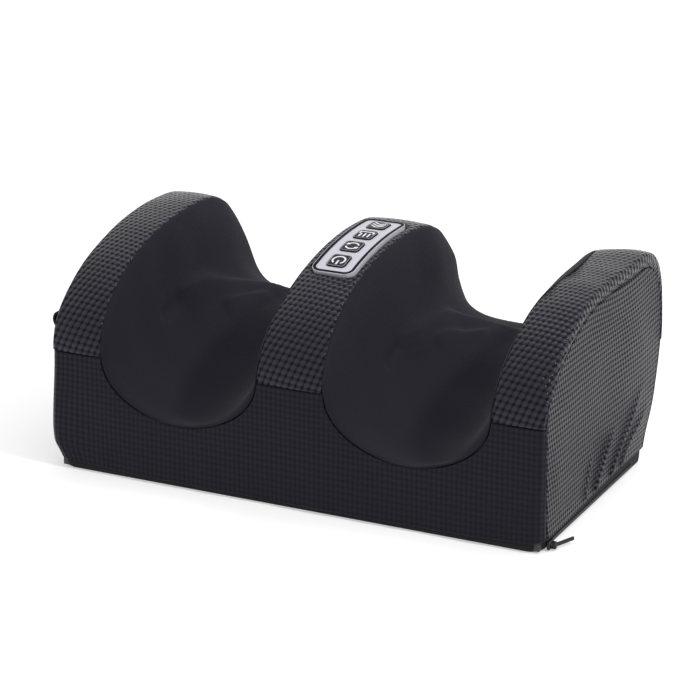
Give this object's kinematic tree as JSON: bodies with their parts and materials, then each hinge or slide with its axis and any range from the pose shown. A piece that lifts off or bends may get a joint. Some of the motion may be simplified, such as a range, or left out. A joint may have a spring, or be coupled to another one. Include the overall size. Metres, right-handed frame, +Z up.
{
  "type": "shiatsu foot massager",
  "caption": "Wedge-shaped foot massager in a zipped leatherette cover, with open foot wells between raised fins, a control panel and kneading heads under the wells.",
  "frame": {"origin": "middle of the flat underside, where the base cloth meets the floor", "axes": "+Z up, -Y to the front where the feet go in, +X to the right seen from the front"},
  "size_m": [0.4284, 0.233, 0.1838],
  "materials": {
    "leatherette": "black synthetic leather, finely embossed, semi-gloss",
    "knit": "black fine knit, matt",
    "foam": "grey open-cell foam",
    "zip": "black woven tape",
    "zip_metal": "black coated zinc",
    "casing_plastic": "black moulded ABS",
    "silver_plastic": "silver-grey moulded plastic, satin",
    "key_plastic": "black plastic, smooth",
    "board": "green circuit board",
    "heat_film": "amber heating film",
    "gearbox_plastic": "grey moulded nylon",
    "wheel_plastic": "off-white acetal",
    "head_rubber": "dark red soft rubber",
    "steel": "bright steel",
    "motor_steel": "zinc-plated motor can"
  },
  "bodies": {
    "massager": {"back_panel": "leatherette", "base_cloth": "knit", "base_tray": "casing_plastic", "case_screw_1": "steel", "case_screw_2": "steel", "case_screw_3": "steel", "case_screw_4": "steel", "control_board": "board", "front_panel": "leatherette", "left_fin_band": "leatherette", "left_fin_foam": "foam", "left_gearbox_base": "gearbox_plastic", "left_gearbox_cover": "gearbox_plastic", "left_gearbox_screw_1": "steel", "left_gearbox_screw_2": "steel", "left_gearbox_screw_3": "steel", "left_gearbox_screw_4": "steel", "left_heat_pad": "heat_film", "left_motor": "motor_steel", "left_side_panel": "leatherette", "left_well_lining": "knit", "middle_fin_band": "leatherette", "middle_fin_foam": "foam", "panel_housing": "silver_plastic", "panel_plate": "silver_plastic", "power_inlet": "key_plastic", "right_fin_band": "leatherette", "right_fin_foam": "foam", "right_gearbox_base": "gearbox_plastic", "right_gearbox_cover": "gearbox_plastic", "right_gearbox_screw_1": "steel", "right_gearbox_screw_2": "steel", "right_gearbox_screw_3": "steel", "right_gearbox_screw_4": "steel", "right_heat_pad": "heat_film", "right_motor": "motor_steel", "right_side_panel": "leatherette", "right_well_lining": "knit", "side_loop": "zip", "upper_casing": "casing_plastic", "zip_tape": "zip"},
    "power_key": {"power_key": "key_plastic"},
    "direction_key": {"direction_key": "key_plastic"},
    "heat_key": {"heat_key": "key_plastic"},
    "speed_key": {"speed_key": "key_plastic"},
    "zip_slider": {"zip_slider": "zip_metal"},
    "zip_pull": {"zip_pull_tab": "zip_metal"},
    "left_inner_drive": {"left_inner_worm_wheel": "wheel_plastic", "left_inner_kneading_head": "head_rubber"},
    "left_outer_drive": {"left_outer_worm_wheel": "wheel_plastic", "left_outer_kneading_head": "head_rubber"},
    "left_worm": {"left_worm_shaft": "steel"},
    "right_inner_drive": {"right_inner_worm_wheel": "wheel_plastic", "right_inner_kneading_head": "head_rubber"},
    "right_outer_drive": {"right_outer_worm_wheel": "wheel_plastic", "right_outer_kneading_head": "head_rubber"},
    "right_worm": {"right_worm_shaft": "steel"}
  },
  "joints": [
    {"name": "power_press", "type": "slide", "parent": "massager", "child": "power_key", "axis": [0, 0.2656, -0.9641], "range_m": [0, 0.0008], "stiffness_N_per_m": 400},
    {"name": "direction_press", "type": "slide", "parent": "massager", "child": "direction_key", "axis": [0, 0.1755, -0.9845], "range_m": [0, 0.0008], "stiffness_N_per_m": 400},
    {"name": "heat_press", "type": "slide", "parent": "massager", "child": "heat_key", "axis": [0, 0.0935, -0.9956], "range_m": [0, 0.0008], "stiffness_N_per_m": 400},
    {"name": "speed_press", "type": "slide", "parent": "massager", "child": "speed_key", "axis": [0, 0.0155, -0.9999], "range_m": [0, 0.0008], "stiffness_N_per_m": 400},
    {"name": "zip_slide", "type": "slide", "parent": "massager", "child": "zip_slider", "axis": [0, 1, 0], "range_m": [0, 0.18]},
    {"name": "pull_swing", "type": "hinge", "parent": "zip_slider", "child": "zip_pull", "pos_m": [0.2091, -0.1, 0.0042], "axis": [0, 0, 1], "range_deg": [-155, 20]},
    {"name": "left_inner_head_spin", "type": "hinge", "parent": "massager", "child": "left_inner_drive", "pos_m": [-0.0725, 0.01495, 0.09739], "axis": [0, -0.351, 0.9364], "continuous": true},
    {"name": "left_outer_head_spin", "type": "hinge", "parent": "massager", "child": "left_outer_drive", "pos_m": [-0.1185, 0.01495, 0.09739], "axis": [0, -0.351, 0.9364], "continuous": true},
    {"name": "left_worm_spin", "type": "hinge", "parent": "massager", "child": "left_worm", "pos_m": [-0.0955, 0.02313, 0.07558], "axis": [0, 0.9364, 0.351], "continuous": true},
    {"name": "right_inner_head_spin", "type": "hinge", "parent": "massager", "child": "right_inner_drive", "pos_m": [0.0725, 0.01495, 0.09739], "axis": [0, -0.351, 0.9364], "continuous": true},
    {"name": "right_outer_head_spin", "type": "hinge", "parent": "massager", "child": "right_outer_drive", "pos_m": [0.1185, 0.01495, 0.09739], "axis": [0, -0.351, 0.9364], "continuous": true},
    {"name": "right_worm_spin", "type": "hinge", "parent": "massager", "child": "right_worm", "pos_m": [0.0955, 0.02313, 0.07558], "axis": [0, 0.9364, 0.351], "continuous": true}
  ],
  "couplings": [
    {"joint": "left_outer_head_spin", "follows": "left_inner_head_spin", "ratio": -1},
    {"joint": "left_worm_spin", "follows": "left_inner_head_spin", "ratio": 24},
    {"joint": "right_inner_head_spin", "follows": "right_outer_head_spin", "ratio": -1},
    {"joint": "right_worm_spin", "follows": "right_outer_head_spin", "ratio": 24}
  ]
}
